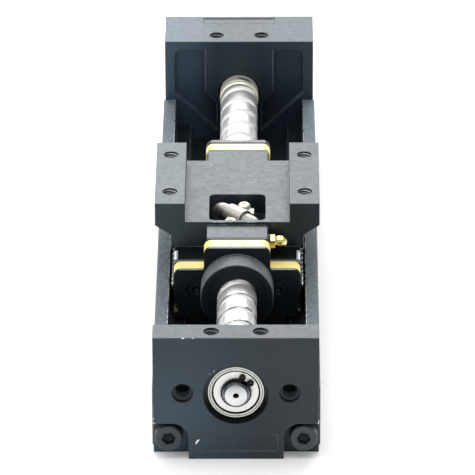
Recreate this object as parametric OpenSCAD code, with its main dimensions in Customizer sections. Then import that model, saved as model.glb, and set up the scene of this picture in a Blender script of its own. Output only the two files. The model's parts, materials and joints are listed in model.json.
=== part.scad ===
// Ball screw assembly: a U-shaped guide rail with a grooved ball screw that drives
// a slider running on balls between the rail's walls. Millimetres, +Z up.
// The origin is the centre of the rail's underside, and +Y points to the drive end.

/* [Rail] */
// Length of the rail
rail_l = 230; // [200:5:330]
// Width of the rail
rail_w = 55; // [54.5:0.5:56]
// Height of the rail's walls
rail_h = 21.2; // [20.5:0.1:22]
// Width of the channel between the rail's walls
channel_w = 46; // [45.8:0.1:46.2]
// Thickness of the rail's floor
floor_t = 5.5; // [5:0.1:5.8]

/* [Housings] */
// Width of both end housings
housing_w = 54; // [53:0.5:54.5]
// Height of both end housings
housing_h = 44.1; // [43:0.1:46]
// Length of the support housing along the screw
front_l = 10; // [9.5:0.1:12]
// Length of the drive housing along the screw
rear_l = 23.6; // [23.6:0.1:26]
// Height of the screw's axis over the rail's underside
axis_z = 23.7; // [23.5:0.1:24]

/* [Screw] */
// Outer diameter of the screw
screw_d = 13.4; // [13.2:0.1:13.4]
// Travel of the slider for one turn of the screw
lead = 10; // [10:1:20]
// Diameter of the nut's balls
ball_d = 3.175; // [3:0.025:3.175]
// Diameter of the two plain ends of the screw
journal_d = 8; // [8:0.1:8.2]
// Length of the drive end behind the drive housing
drive_end_l = 20; // [15:1:30]

/* [Slider] */
// Distance of the slider's centre from the middle of the rail at rest
slider_y = -2.5; // [-20:0.5:20]
// Length of the steel slider block
block_l = 70.4; // [68:0.2:72]
// Height of the mounting table's top
table_h = 46.1; // [45.5:0.1:47]
// Width of the mounting table
table_w = 56; // [55.5:0.5:58]
// Length of the mounting table
table_l = 50; // [49:0.5:52]
// Spacing of the table's mounting holes across the rail
table_hole_x = 46; // [45:0.5:47]
// Spacing of the table's mounting holes along the rail
table_hole_y = 30; // [28:0.5:32]

/* [Hidden] */
$fn = 64;
eps = 0.01;
over = 1;

// Ends of the rail and of the housings along Y
rail_y = rail_l / 2;
front_y = -rail_y - front_l;
rear_y = rail_y + rear_l;

// Ledges of the rail's channel, which hold the threads of the housing screws
ledge_x = 17.5;
ledge_z = 11;
// Guide balls run between the rail's walls and the slider's sides
wing_w = 42.8;
wing_z = 30;
guide_x = (channel_w + wing_w) / 4;
guide_z = 16.4;
guide_groove_r = 1.65;
guide_ball_r = 1.55;
guide_ball_count = 16;
guide_ball_pitch = 3.6;
// Return holes inside the slider, where the unloaded guide balls run back
return_x = 16.8;
return_hole_r = 1.75;
// Pockets in the block's ends, where the balls turn from the groove to the return hole
turn_depth = 2.2;
// Rail mounting bolts: four pairs along the floor
rail_bolt_x = 11;
rail_bolt_pitch = 60;
rail_bolt_r = 2.25;
rail_head_r = 4;
rail_head_t = 3.5;

// Housing screws: M5 socket head cap screws in the lower corners
corner_screw_x = 22;
corner_screw_z = 7.4;
m5_r = 2.5;
m5_head_r = 4.5;
m5_head_l = 5;
m5_clear_r = 2.75;
m5_hex_af = 4;
recess_x = 15.5;
recess_z = 12.9;
recess_r = 5.5;
front_screw_l = 15;
rear_screw_l = 30;
rail_thread_l = 13;

// Front bearing, 8 x 19 x 6
fb_bore_r = 9.5;
fb_w = 6;
fb_y = front_y + 1.5;
fb_outer_in_r = 7.4;
fb_inner_out_r = 5.4;
fb_pitch_r = 6.4;
fb_ball_r = 1.5;
fb_balls = 9;
shield_r = 5.5;
shield_t = 0.3;
shield_in = 0.5;
front_clear_r = 8;

// Rear bearings, a pair of 10 x 22 x 6
rb_bore_r = 11;
rb_w = 6;
rb_y = rear_y - 16;
rb_r = 5;
rb_outer_in_r = 9.2;
rb_inner_out_r = 6.8;
rb_pitch_r = 8;
rb_ball_r = 1.8;
rb_balls = 10;
rb_stop_r = 7.7;
race_gap = 0.05;
cage_gap = 0.06;

// Bearing retainer at the back of the drive housing
retainer_r = 15;
retainer_bore_r = 9.6;
retainer_t = 4;
retainer_screw_r = 12.4;
m2_r = 1;
m2_head_r = 1.9;
m2_head_l = 2;
m2_l = 8;
m2_thread_l = 6;
m2_clear_r = 1.15;
m2_seat_r = 2;
lock_nut_r = 8.5;
lock_nut_l = 4;

// Screw
screw_r = screw_d / 2;
journal_r = journal_d / 2;
screw_y0 = front_y - 1.2;
thread_y0 = -rail_y + 1.5;
thread_y1 = rail_y - 6.5;
shoulder_r = 4.9;
spacer_r = 7;
end_chamfer = 0.5;
circlip_r = 5;
circlip_t = 0.8;
groove_r = 1.72;
circlip_groove_r = 3.7;
ball_circle_r = 6.9;
groove_steps = 18;

// Slider and its stack of end plates
bore_r = 7.1;
hump_w = 20.8;
hump_z = 38.2;
hump_r = 0.4;
wing_r = 0.8;
block_z = 7;
step_x = 16.5;
step_z = 12;
neck_w = 45.2;
neck_z = 34.3;
pad_z = 37.9;
pad_in_x = 17.8;
channel_z = 39.2;
table_thread_l = 7;
cap_t = 1.2;
cap_drop = 0.1;
lube_t = 5.3;
seal_front_t = 1.4;
seal_rear_t = 3;
plate_z = 38.1;
plate_hump_w = 22.4;
plate_r = 2.4;
plate_hump_r = 2.5;
cap_screw_x = 14;
cap_screw_z = 22.2;
m3_r = 1.5;
m3_head_r = 2.75;
m3_head_l = 3;
m3_hex_af = 2.5;
m3_clear_r = 1.6;
m3_seat_r = 2.9;
m3_seat_t = 1.7;
m3_thread_l = 7;
m3_grip_l = 6;
collar_r = 12.3;
collar_l = 9.3;
// Gaps round the screw
lube_gap = 0.3;
seal_gap = 0.08;
collar_gap = 0.35;

// Window in the table with the ball return tube
window_w = 19.2;
window_l = 20.5;
window_y = -13.05;
window_z = 31.9;
window_r = 2;
tube_r = 2.4;
tube_in_r = 1.9;
tube_bend_r = 3.6;
tube_gap = 0.05;
screw_gap = 0.1;
tube_z = 35.8;
leg_x = ball_circle_r;
leg_y = 0.75 * lead;
leg_a = atan2(-leg_y, leg_x);
leg_u = norm([leg_x, leg_y]);
clamp_w = 7.8;
clamp_t = 0.8;
clamp_screw_x = 2.3;
clamp_screw_y = 6.4;
clamp_z = 35.2;
ear_t = 1;
ear_in_y = 1.2;
ear_out_y = 5.6;
// Reach of the near and the far ear beside the strap
ear_out_x = [3.6, 5.7];
boss_r = 2.3;
m25_r = 1.25;
pan_r = 2.1;
pan_h = 1.4;
clamp_thread_l = 2.8;

// The groove crosses the screw's top at this Y, so that it meets the tube's two legs
groove_phase = slider_y + window_y;

// Grease nipple on the right side of the slider's hump
nipple_y = -30.3;
nipple_z = 34.4;
nipple_r = 1.5;
nipple_thread_l = 3;
// Raised seat round the nipple's thread
nipple_seat_r = 2.6;
nipple_seat_t = 0.7;

// ---------- shared shapes ----------

// Box from its lowest to its highest corner
module box(low, high) {
  translate(low) cube(high - low);
}

// Cylinder along Y on the axis (x, z), from y0 to y1
module bar(r, y0, y1, x = 0, z = axis_z) {
  translate([x, y0, z]) rotate([-90, 0, 0]) cylinder(r = r, h = y1 - y0);
}

// Cone along Y on the screw's axis
module taper(r0, r1, y0, y1, x = 0, z = axis_z) {
  translate([x, y0, z]) rotate([-90, 0, 0]) cylinder(r1 = r0, r2 = r1, h = y1 - y0);
}

// Ring along Y on the screw's axis
module ring(r_out, r_in, y0, y1) {
  difference() {
    bar(r_out, y0, y1);
    bar(r_in, y0 - over, y1 + over);
  }
}

// Torus round the screw's axis, for a bearing's race
module race(pitch_r, r, y) {
  translate([0, y, axis_z]) rotate([-90, 0, 0]) rotate_extrude() translate([pitch_r, 0]) circle(r);
}

// Balls of one bearing
module bearing_balls(count, pitch_r, r, y) {
  for (i = [0 : count - 1])
    translate([0, y, axis_z]) rotate([0, 360 * i / count, 0]) translate([pitch_r, 0, 0]) sphere(r);
}

// Cage of one bearing: a narrow ring with a round pocket for each ball
module bearing_cage(count, pitch_r, ball_r, y) {
  half_w = ball_r + 0.5;
  half_t = 0.35;
  difference() {
    ring(pitch_r + half_t, pitch_r - half_t, y - half_w, y + half_w);
    for (i = [0 : count - 1])
      translate([0, y, axis_z]) rotate([0, 360 * i / count, 0])
        translate([pitch_r - over, 0, 0]) rotate([0, 90, 0])
          cylinder(r = ball_r + cage_gap, h = 2 * over);
  }
}

// Prism along Y with rounded upper corners
module round_top(half_w, z0, z1, r, y0, y1) {
  box([-half_w, y0, z0], [half_w, y1, z1 - r]);
  box([-half_w + r, y0, z1 - r - eps], [half_w - r, y1, z1]);
  for (side = [-1, 1])
    bar(r, y0, y1, side * (half_w - r), z1 - r);
}

// Socket head cap screw along +Y with its head's face at y = 0
module cap_screw(head_r, head_l, r, length, hex_af) {
  hex_r = hex_af / sqrt(3);
  chamfer = 0.35;
  rotate([-90, 0, 0]) difference() {
    union() {
      cylinder(r1 = head_r - chamfer, r2 = head_r, h = chamfer);
      translate([0, 0, chamfer]) cylinder(r = head_r, h = head_l - chamfer);
      cylinder(r = r, h = head_l + length);
    }
    translate([0, 0, -over]) cylinder(r = hex_r, h = head_l / 2 + over, $fn = 6);
  }
}

// ---------- rail and housings ----------

module rail() {
  color("slategray") difference() {
    box([-rail_w / 2, -rail_y, 0], [rail_w / 2, rail_y, rail_h]);
    box([-channel_w / 2, -rail_y - over, ledge_z], [channel_w / 2, rail_y + over, rail_h + over]);
    box([-ledge_x, -rail_y - over, floor_t], [ledge_x, rail_y + over, ledge_z + over]);
    for (side = [-1, 1]) {
      bar(guide_groove_r, -rail_y - over, rail_y + over, side * guide_x, guide_z);
      for (end = [-1, 1])
        bar(m5_r, end > 0 ? rail_y - rail_thread_l : -rail_y - over,
            end > 0 ? rail_y + over : -rail_y + rail_thread_l,
            side * corner_screw_x, corner_screw_z);
      for (k = [-1.5 : 1 : 1.5])
        translate([side * rail_bolt_x, k * rail_bolt_pitch, 0]) {
          translate([0, 0, -over]) cylinder(r = rail_bolt_r, h = floor_t + 2 * over);
          translate([0, 0, floor_t - rail_head_t]) cylinder(r = rail_head_r, h = rail_head_t + over);
        }
    }
  }
}

// Lower corner recess for a housing screw, open to the side and to the bottom
module corner_recess(side, y0, y1) {
  inner = side * recess_x;
  outer = side * (housing_w / 2 + over);
  box([min(inner, outer), y0, -over], [max(inner, outer), y1, recess_z - recess_r]);
  arc_x = side * (recess_x + recess_r);
  box([min(arc_x, outer), y0, -over], [max(arc_x, outer), y1, recess_z]);
  bar(recess_r, y0, y1, arc_x, recess_z - recess_r);
}

module front_housing() {
  bore_edge = 1;
  hole_edge = 0.3;
  face_hole_x = 17.4;
  face_hole_z = 24.2;
  face_hole_r = 3;
  face_hole_l = 8;
  top_hole_x = 8;
  top_hole_y = front_y + 5.1;
  top_hole_r = 2.55;
  top_hole_l = 8;
  panel_x = 13.5;
  panel_z0 = 3;
  panel_z1 = 9.1;
  panel_t = 0.3;
  color("dimgray") difference() {
    box([-housing_w / 2, front_y, 0], [housing_w / 2, -rail_y, housing_h]);
    bar(fb_bore_r, front_y - over, fb_y + fb_w);
    bar(front_clear_r, front_y, -rail_y + over);
    taper(fb_bore_r + bore_edge, fb_bore_r, front_y - eps, front_y + bore_edge);
    for (side = [-1, 1]) {
      corner_recess(side, front_y - over, front_y + m5_head_l);
      bar(m5_clear_r, front_y, -rail_y + over, side * corner_screw_x, corner_screw_z);
      bar(face_hole_r, front_y - over, front_y + face_hole_l, side * face_hole_x, face_hole_z);
      taper(face_hole_r + hole_edge, face_hole_r, front_y - eps, front_y + hole_edge,
            side * face_hole_x, face_hole_z);
      translate([side * top_hole_x, top_hole_y, housing_h - top_hole_l])
        cylinder(r = top_hole_r, h = top_hole_l + over);
    }
    box([-panel_x, front_y - over, panel_z0], [panel_x, front_y + panel_t, panel_z1]);
  }
}

// Shallow pocket beside the bore in the drive housing's inner face; it runs down to a slanted
// edge that points at the screw
module drive_pocket(side) {
  in_x = 12.4;
  out_x = 23.4;
  low_x = 8.2;
  top_z = 41;
  low_z = 9;
  bend_z = 19.5;
  high_z = 23.8;
  r = 3;
  depth = 2;
  translate([0, rail_y + depth, 0]) rotate([90, 0, 0])
    mirror([side < 0 ? 1 : 0, 0, 0]) linear_extrude(depth + over) difference() {
      polygon([[low_x, low_z], [out_x, high_z], [out_x, top_z], [in_x, top_z], [in_x, high_z],
               [low_x, bend_z]]);
      difference() {
        translate([out_x - r, top_z - r]) square(2 * r);
        translate([out_x - r, top_z - r]) circle(r);
      }
    }
}

module rear_housing() {
  top_hole_x = 8.15;
  top_hole_y = rail_y + 6.1;
  top_hole_r = 2.55;
  top_hole_l = 8;
  panel_x = 13.1;
  panel_y0 = rear_y - 6.7;
  panel_w = 4.8;
  panel_t = 0.3;
  motor_pcd = 36;
  motor_hole_r = 2;
  motor_hole_l = 9;
  color("dimgray") difference() {
    box([-housing_w / 2, rail_y, 0], [housing_w / 2, rear_y, housing_h]);
    bar(rb_bore_r, rb_y, rear_y + over);
    bar(rb_stop_r, rail_y - over, rb_y + over);
    bar(retainer_r, rear_y - retainer_t, rear_y + over);
    for (side = [-1, 1]) {
      drive_pocket(side);
      corner_recess(side, rear_y - m5_head_l, rear_y + over);
      bar(m5_clear_r, rail_y - over, rear_y, side * corner_screw_x, corner_screw_z);
      translate([side * top_hole_x, top_hole_y, housing_h - top_hole_l])
        cylinder(r = top_hole_r, h = top_hole_l + over);
    }
    for (a = [45 : 90 : 315])
      bar(motor_hole_r, rear_y - motor_hole_l, rear_y + over, motor_pcd / 2 * sin(a),
          axis_z + motor_pcd / 2 * cos(a));
    for (a = [0 : 90 : 270])
      bar(m2_r, rear_y - retainer_t - m2_thread_l, rear_y, retainer_screw_r * sin(a),
          axis_z + retainer_screw_r * cos(a));
    box([-panel_x, panel_y0, housing_h - panel_t], [panel_x, panel_y0 + panel_w, housing_h + over]);
  }
}

module front_housing_screws() {
  color("silver") for (side = [-1, 1])
    translate([side * corner_screw_x, front_y, corner_screw_z])
      cap_screw(m5_head_r, m5_head_l, m5_r, front_screw_l, m5_hex_af);
}

module rear_housing_screws() {
  color("silver") for (side = [-1, 1])
    translate([side * corner_screw_x, rear_y, corner_screw_z]) rotate([0, 0, 180])
      cap_screw(m5_head_r, m5_head_l, m5_r, rear_screw_l, m5_hex_af);
}

// ---------- front bearing ----------

module front_bearing_outer_ring() {
  color("silver") difference() {
    ring(fb_bore_r, fb_outer_in_r, fb_y, fb_y + fb_w);
    race(fb_pitch_r, fb_ball_r + race_gap, fb_y + fb_w / 2);
  }
}

module front_bearing_inner_ring() {
  color("silver") difference() {
    ring(fb_inner_out_r, journal_r, fb_y, fb_y + fb_w);
    race(fb_pitch_r, fb_ball_r + race_gap, fb_y + fb_w / 2);
  }
}

module front_bearing_shields() {
  color("gainsboro") for (y = [fb_y + shield_in, fb_y + fb_w - shield_in - shield_t])
    ring(fb_outer_in_r, shield_r, y, y + shield_t);
}

module front_bearing_cage() {
  color("khaki") bearing_cage(fb_balls, fb_pitch_r, fb_ball_r, fb_y + fb_w / 2);
}

module front_bearing_balls() {
  color("white") bearing_balls(fb_balls, fb_pitch_r, fb_ball_r, fb_y + fb_w / 2);
}

// External circlip with its two lugs at the upper right
module front_circlip() {
  lug_a = 37;
  lug_gap_a = 16;
  lug_r = 1.1;
  lug_hole_r = 0.4;
  lug_pos_r = 5.9;
  gap_w = 1.2;
  y0 = fb_y - circlip_t;
  color("dimgray") difference() {
    union() {
      ring(circlip_r, circlip_groove_r, y0, fb_y);
      for (a = [lug_a - lug_gap_a, lug_a + lug_gap_a])
        bar(lug_r, y0, fb_y, lug_pos_r * sin(a), axis_z + lug_pos_r * cos(a));
    }
    translate([0, y0 - over, axis_z]) rotate([0, lug_a, 0])
      translate([-gap_w / 2, 0, 0]) cube([gap_w, circlip_t + 2 * over, circlip_r + lug_r + over]);
    for (a = [lug_a - lug_gap_a, lug_a + lug_gap_a])
      bar(lug_hole_r, y0 - over, fb_y + over, lug_pos_r * sin(a), axis_z + lug_pos_r * cos(a));
  }
}

// ---------- rear bearings ----------

module rear_bearing_outer_rings() {
  color("silver") for (k = [0, 1]) {
    y0 = rb_y + k * rb_w;
    difference() {
      ring(rb_bore_r, rb_outer_in_r, y0, y0 + rb_w);
      race(rb_pitch_r, rb_ball_r + race_gap, y0 + rb_w / 2);
    }
  }
}

module rear_bearing_inner_rings() {
  color("silver") for (k = [0, 1]) {
    y0 = rb_y + k * rb_w;
    difference() {
      ring(rb_inner_out_r, rb_r, y0, y0 + rb_w);
      race(rb_pitch_r, rb_ball_r + race_gap, y0 + rb_w / 2);
    }
  }
}

module rear_bearing_cages() {
  color("khaki") for (k = [0.5, 1.5])
    bearing_cage(rb_balls, rb_pitch_r, rb_ball_r, rb_y + k * rb_w);
}

module rear_bearing_balls() {
  color("white") for (k = [0.5, 1.5])
    bearing_balls(rb_balls, rb_pitch_r, rb_ball_r, rb_y + k * rb_w);
}

module rear_bearing_retainer() {
  color("dimgray") difference() {
    ring(retainer_r, retainer_bore_r, rear_y - retainer_t, rear_y);
    for (a = [0 : 90 : 270]) {
      x = retainer_screw_r * sin(a);
      z = axis_z + retainer_screw_r * cos(a);
      bar(m2_clear_r, rear_y - retainer_t - over, rear_y, x, z);
      bar(m2_seat_r, rear_y - m2_head_l, rear_y + over, x, z);
    }
  }
}

module retainer_screws() {
  hex_af = 1.5;
  color("silver") for (a = [0 : 90 : 270])
    translate([retainer_screw_r * sin(a), rear_y, axis_z + retainer_screw_r * cos(a)])
      rotate([0, 0, 180]) cap_screw(m2_head_r, m2_head_l, m2_r, m2_l - m2_head_l, hex_af);
}

// ---------- ball screw ----------

// Helix of the ball groove: angle a in degrees from +Z towards +X, right-handed about +Y
function helix_y(a) = lead * a / 360;

// Section of the groove cutter in radius and Y: side -1 cuts the screw and 1 cuts the nut
function groove_section(side) = concat(
  [for (a = [-75 : 37.5 : 75]) [ball_circle_r + side * groove_r * cos(a), groove_r * sin(a)]],
  [[ball_circle_r - side, groove_r], [ball_circle_r - side, -groove_r]]
);

// Groove cutter: the section swept along the helix from y0 to y1
module groove_cutter(side, y0, y1) {
  section = groove_section(side);
  n = len(section);
  first = floor(groove_steps * (y0 - groove_phase) / lead);
  last = ceil(groove_steps * (y1 - groove_phase) / lead);
  count = last - first;
  points = [for (k = [first : last]) each
    let(a = 360 * k / groove_steps)
      [for (p = section)
        [p[0] * sin(a), groove_phase + helix_y(a) + p[1], axis_z + p[0] * cos(a)]]];
  sides = [for (k = [0 : count - 1]) for (i = [0 : n - 1]) each
    let(j = (i + 1) % n, a = k * n, b = (k + 1) * n)
      [[a + i, b + i, b + j], [a + i, b + j, a + j]]];
  caps = [[for (i = [0 : n - 1]) i], [for (i = [n - 1 : -1 : 0]) count * n + i]];
  faces = concat(sides, caps);
  polyhedron(points, side < 0 ? faces : [for (f = faces) [for (i = [len(f) - 1 : -1 : 0]) f[i]]]);
}

module screw_shaft() {
  drive_y = rear_y + drive_end_l;
  centre_r = 1;
  centre_l = 2;
  color("lightgray") difference() {
    union() {
      taper(journal_r - end_chamfer, journal_r, screw_y0, screw_y0 + end_chamfer);
      bar(journal_r, screw_y0 + end_chamfer, fb_y + fb_w);
      bar(shoulder_r, fb_y + fb_w, thread_y0 + eps);
      bar(screw_r, thread_y0, thread_y1);
      bar(rb_r, thread_y1 - eps, rear_y - retainer_t + lock_nut_l);
      bar(journal_r, rear_y, drive_y - end_chamfer);
      taper(journal_r, journal_r - end_chamfer, drive_y - end_chamfer, drive_y);
    }
    ring(journal_r + over, circlip_groove_r, fb_y - circlip_t, fb_y);
    taper(centre_r, eps, screw_y0 - eps, screw_y0 + centre_l);
    taper(eps, centre_r, drive_y - centre_l, drive_y + eps);
    groove_cutter(-1, thread_y0 - lead / 2, thread_y1 - 1);
  }
}

module rear_spacer() {
  color("khaki") ring(spacer_r, rb_r, thread_y1, rb_y);
}

module bearing_lock_nut() {
  y0 = rear_y - retainer_t;
  slot_w = 2.4;
  slot_t = 1.2;
  color("dimgray") difference() {
    ring(lock_nut_r, rb_r, y0, y0 + lock_nut_l);
    for (a = [45 : 90 : 315])
      translate([0, y0 - over, axis_z]) rotate([0, a, 0])
        translate([-slot_w / 2, 0, lock_nut_r - slot_t])
          cube([slot_w, lock_nut_l + 2 * over, slot_t + over]);
  }
}

// ---------- slider ----------

// Cross-section of the slider between the rail's walls, from y0 to y1
module slider_profile(hump_half, hump_top, hump_corner, wing_corner, y0, y1) {
  box([-step_x, y0, block_z], [step_x, y1, step_z + eps]);
  round_top(wing_w / 2, step_z, wing_z, wing_corner, y0, y1);
  round_top(hump_half, axis_z, hump_top, hump_corner, y0, y1);
}

module table() {
  y0 = slider_y - table_l / 2;
  translate([0, y0 + table_l, 0]) rotate([90, 0, 0]) linear_extrude(table_l) polygon([
    [-neck_w / 2, wing_z - 1], [neck_w / 2, wing_z - 1], [neck_w / 2, neck_z],
    [table_w / 2, pad_z], [table_w / 2, table_h], [pad_in_x, table_h],
    [pad_in_x, channel_z], [-pad_in_x, channel_z], [-pad_in_x, table_h],
    [-table_w / 2, table_h], [-table_w / 2, pad_z], [-neck_w / 2, neck_z]
  ]);
}

module window_pocket() {
  height = table_h - window_z;
  translate([0, slider_y + window_y, window_z]) {
    for (w = [[0, window_r], [window_r, 0]])
      translate([-window_w / 2 + w[0], -window_l / 2 + w[1], 0])
        cube([window_w - 2 * w[0], window_l - 2 * w[1], height]);
    for (sx = [-1, 1]) for (sy = [-1, 1])
      translate([sx * (window_w / 2 - window_r), sy * (window_l / 2 - window_r), 0])
        cylinder(r = window_r, h = height);
  }
}

module slider_block() {
  y0 = slider_y - block_l / 2;
  y1 = slider_y + block_l / 2;
  color("lightslategray") difference() {
    union() {
      difference() {
        union() {
          slider_profile(hump_w / 2, hump_z, hump_r, wing_r, y0, y1);
          table();
        }
        window_pocket();
      }
      for (side = [-1, 1])
        translate([side * clamp_screw_x, slider_y + window_y + side * clamp_screw_y, window_z - 1])
          cylinder(r = boss_r, h = clamp_z - window_z + 1);
      translate([hump_w / 2 - 1, slider_y + nipple_y, nipple_z]) rotate([0, 90, 0])
        cylinder(r = nipple_seat_r, h = 1 + nipple_seat_t);
    }
    bar(bore_r, y0 - over, y1 + over);
    groove_cutter(1, groove_phase - leg_y, groove_phase + leg_y);
    for (side = [-1, 1]) {
      bar(guide_groove_r, y0 - over, y1 + over, side * guide_x, guide_z);
      bar(return_hole_r, y0 - over, y1 + over, side * return_x, guide_z);
      translate([side * leg_x, slider_y + window_y - side * leg_y, axis_z])
        cylinder(r = tube_r + tube_gap, h = window_z - axis_z + over);
      translate([side * clamp_screw_x, slider_y + window_y + side * clamp_screw_y,
                 clamp_z - clamp_thread_l - eps])
        cylinder(r = m25_r, h = clamp_thread_l + over);
      for (k = [-1, 1]) {
        translate([side * table_hole_x / 2, slider_y + k * table_hole_y / 2,
                   table_h - table_thread_l])
          cylinder(r = m5_r, h = table_thread_l + over);
        bar(m3_r, k > 0 ? y1 - m3_thread_l : y0 - over, k > 0 ? y1 + over : y0 + m3_thread_l,
            side * cap_screw_x, cap_screw_z);
        box([min(side * return_x, side * guide_x), k > 0 ? y1 - turn_depth : y0 - over,
             guide_z - return_hole_r],
            [max(side * return_x, side * guide_x), k > 0 ? y1 + over : y0 + turn_depth,
             guide_z + return_hole_r]);
      }
    }
    translate([bore_r, slider_y + nipple_y, nipple_z]) rotate([0, 90, 0])
      cylinder(r = nipple_r, h = hump_w / 2);
  }
}

// Tube wall along Z
module tube_wall(length) {
  linear_extrude(length) difference() {
    circle(tube_r);
    circle(tube_in_r);
  }
}

// Return tube: a leg, a bend and half of the straight run, and the same turned about the middle
module return_tube() {
  y_mid = slider_y + window_y;
  leg_l = tube_z - tube_bend_r - axis_z;
  run_l = leg_u - tube_bend_r;
  color("silver") difference() {
    translate([0, y_mid, 0]) rotate([0, 0, leg_a]) for (turn = [0, 180])
      rotate([0, 0, turn]) {
        translate([leg_u, 0, axis_z]) tube_wall(leg_l);
        translate([run_l, 0, tube_z - tube_bend_r]) rotate([90, 0, 0])
          rotate_extrude(angle = 90) translate([tube_bend_r, 0]) difference() {
            circle(tube_r);
            circle(tube_in_r);
          }
        translate([0, 0, tube_z]) rotate([0, 90, 0]) tube_wall(run_l);
      }
    bar(bore_r + tube_gap, y_mid - leg_y - lead, y_mid + leg_y + lead);
  }
}

// Strap over the return tube with one ear on each side
module tube_clamp() {
  strap_r = tube_r + tube_gap;
  strap_out_r = strap_r + clamp_t;
  pass_l = 20;
  pass_h = 5;
  color("khaki") translate([0, slider_y + window_y, 0]) difference() {
    union() {
      rotate([0, 0, leg_a]) {
        translate([-clamp_w / 2, 0, tube_z]) rotate([0, 90, 0])
          cylinder(r = strap_out_r, h = clamp_w);
        translate([-clamp_w / 2, -strap_out_r, clamp_z])
          cube([clamp_w, 2 * strap_out_r, tube_z - clamp_z]);
      }
      for (side = [-1, 1]) {
        translate([side * clamp_screw_x, side * clamp_screw_y, clamp_z])
          cylinder(r = boss_r, h = ear_t);
        rotate([0, 0, side > 0 ? 0 : 180]) translate([0, ear_in_y, clamp_z])
          cube([ear_out_x[side > 0 ? 1 : 0], ear_out_y - ear_in_y, ear_t]);
      }
    }
    rotate([0, 0, leg_a]) {
      translate([-pass_l / 2, 0, tube_z]) rotate([0, 90, 0]) cylinder(r = strap_r, h = pass_l);
      translate([-pass_l / 2, -strap_r, clamp_z - pass_h])
        cube([pass_l, 2 * strap_r, tube_z - clamp_z + pass_h]);
      translate([-pass_l / 2, -pass_l / 2, clamp_z - pass_h]) cube([pass_l, pass_l, pass_h]);
    }
    for (side = [-1, 1])
      translate([side * clamp_screw_x, side * clamp_screw_y, clamp_z - over])
        cylinder(r = m25_r + screw_gap, h = ear_t + 2 * over);
  }
}

module tube_clamp_screws() {
  slot_w = 0.5;
  slot_l = 2.4;
  slot_t = 0.7;
  slot_a = 20;
  rim_h = 0.6 * pan_h;
  color("khaki") for (side = [-1, 1])
    translate([side * clamp_screw_x, slider_y + window_y + side * clamp_screw_y, clamp_z + ear_t])
      difference() {
        union() {
          translate([0, 0, -ear_t - clamp_thread_l]) cylinder(r = m25_r, h = ear_t + clamp_thread_l + eps);
          cylinder(r = pan_r, h = rim_h);
          translate([0, 0, rim_h]) cylinder(r1 = pan_r, r2 = 0.7 * pan_r, h = pan_h - rim_h);
        }
        for (a = [0, 90])
          rotate([0, 0, a + slot_a]) translate([-slot_l / 2, -slot_w / 2, pan_h - slot_t])
            cube([slot_l, slot_w, slot_t + over]);
      }
}

// Balls in the nut: the turns of the helix between the return tube's two legs
module nut_balls() {
  turns = 2 * leg_y / lead;
  count = 18;
  play = 0.1;
  color("white") for (i = [0 : count - 1]) {
    a = 360 * turns * ((i + 0.5) / count - 0.5);
    translate([ball_circle_r * sin(a), groove_phase + helix_y(a), axis_z + ball_circle_r * cos(a)])
      sphere(ball_d / 2 - play);
  }
}

// Guide balls of one side: the loaded row in the grooves and the row in the return hole
module guide_balls(side) {
  color("white") for (x = [guide_x, return_x]) for (i = [0 : guide_ball_count - 1])
    translate([side * x, slider_y + (i - (guide_ball_count - 1) / 2) * guide_ball_pitch, guide_z])
      sphere(guide_ball_r);
}

module left_guide_balls() {
  guide_balls(-1);
}

module right_guide_balls() {
  guide_balls(1);
}

// ---------- end plates of the slider ----------

// Where a layer of the stack starts: "end" is -1 at the front and 1 at the rear
function stack_y(end, depth) = slider_y + end * (block_l / 2 + depth);

// Holes of one layer of the stack: the screw's own and the two for the plates' screws
module stack_holes(end, depth, t, hole_r, screw_r) {
  a = stack_y(end, depth);
  b = stack_y(end, depth + t);
  bar(hole_r, min(a, b) - over, max(a, b) + over);
  for (side = [-1, 1])
    bar(screw_r, min(a, b) - over, max(a, b) + over, side * cap_screw_x, cap_screw_z);
}

// Plate that stands a little proud of the block
module end_plate(end, depth, t, hole_r, screw_r) {
  a = stack_y(end, depth);
  b = stack_y(end, depth + t);
  difference() {
    slider_profile(plate_hump_w / 2, plate_z, plate_hump_r, plate_r, min(a, b), max(a, b));
    stack_holes(end, depth, t, hole_r, screw_r);
  }
}

// Cap that closes the balls' turn pockets, flush with the block
module end_cap(end) {
  a = stack_y(end, 0);
  b = stack_y(end, cap_t);
  color("#303438") difference() {
    slider_profile(hump_w / 2, hump_z - cap_drop, hump_r, wing_r, min(a, b), max(a, b));
    stack_holes(end, 0, cap_t, bore_r, m3_clear_r);
  }
}

module lube_plate(end) {
  head_y = stack_y(end, cap_t + lube_t - m3_seat_t);
  out_y = stack_y(end, cap_t + lube_t + over);
  color("#fff6b8") difference() {
    end_plate(end, cap_t, lube_t, screw_r + lube_gap, m3_clear_r);
    for (side = [-1, 1])
      bar(m3_seat_r, min(head_y, out_y), max(head_y, out_y), side * cap_screw_x,
          cap_screw_z);
  }
}

module seal_plate(end) {
  t = end < 0 ? seal_front_t : seal_rear_t;
  color("#202428") end_plate(end, cap_t + lube_t, t, screw_r + seal_gap, m3_seat_r);
}

module cap_screws(end) {
  head_y = stack_y(end, cap_t + lube_t - m3_seat_t + m3_head_l);
  color("silver") for (side = [-1, 1])
    translate([side * cap_screw_x, head_y, cap_screw_z]) rotate([0, 0, end > 0 ? 180 : 0])
      cap_screw(m3_head_r, m3_head_l, m3_r, cap_t + lube_t - m3_seat_t + m3_grip_l, m3_hex_af);
}

module front_end_cap() {
  end_cap(-1);
}

module rear_end_cap() {
  end_cap(1);
}

module front_lube_plate() {
  lube_plate(-1);
}

module rear_lube_plate() {
  lube_plate(1);
}

module front_seal_plate() {
  seal_plate(-1);
}

module rear_seal_plate() {
  seal_plate(1);
}

module front_cap_screws() {
  cap_screws(-1);
}

module rear_cap_screws() {
  cap_screws(1);
}

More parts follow.
